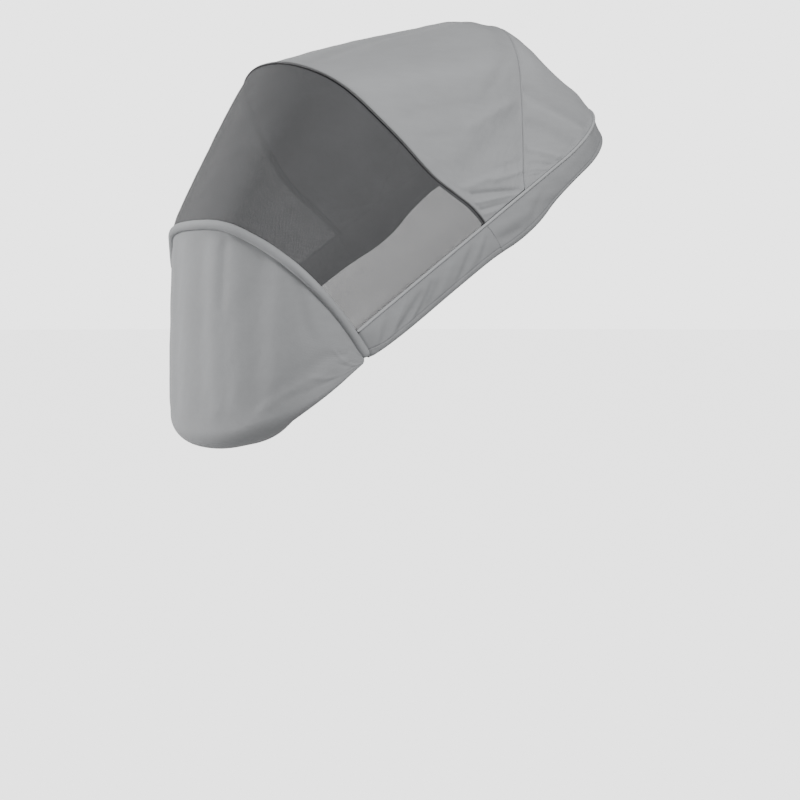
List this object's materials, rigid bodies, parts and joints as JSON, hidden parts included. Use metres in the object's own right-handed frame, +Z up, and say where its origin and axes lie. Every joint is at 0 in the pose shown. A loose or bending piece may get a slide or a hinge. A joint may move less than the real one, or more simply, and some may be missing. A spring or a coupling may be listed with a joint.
{
  "type": "stroller mosquito net",
  "caption": "Stroller cover against insects: a grey cloth hood, a sheer dark net front, a zipped brim, a rim band and a boot-shaped foot cover.",
  "frame": {"origin": "the top bow of the seat's own canopy, just under the cloth of the hood's top, which carries the cover from inside", "axes": "+Z up, -Y towards the foot cover, +X the side that the picture shows"},
  "size_m": [0.3832, 0.6854, 0.6208],
  "materials": {
    "grey_cloth": "plain woven polyester, matt with a faint sheen",
    "band_cloth": "plain woven polyester, matt",
    "dark_net": "fine sheer net",
    "dark_zip": "woven zip tape with a coil"
  },
  "bodies": {
    "root": {"hood_main": "grey_cloth", "hood_rear": "grey_cloth", "net": "dark_net", "brim_zip": "dark_zip", "rim_piping": "band_cloth", "band_left": "band_cloth", "band_right": "band_cloth", "band_rear": "band_cloth", "foot_cover": "grey_cloth", "foot_binding": "grey_cloth"}
  },
  "joints": []
}
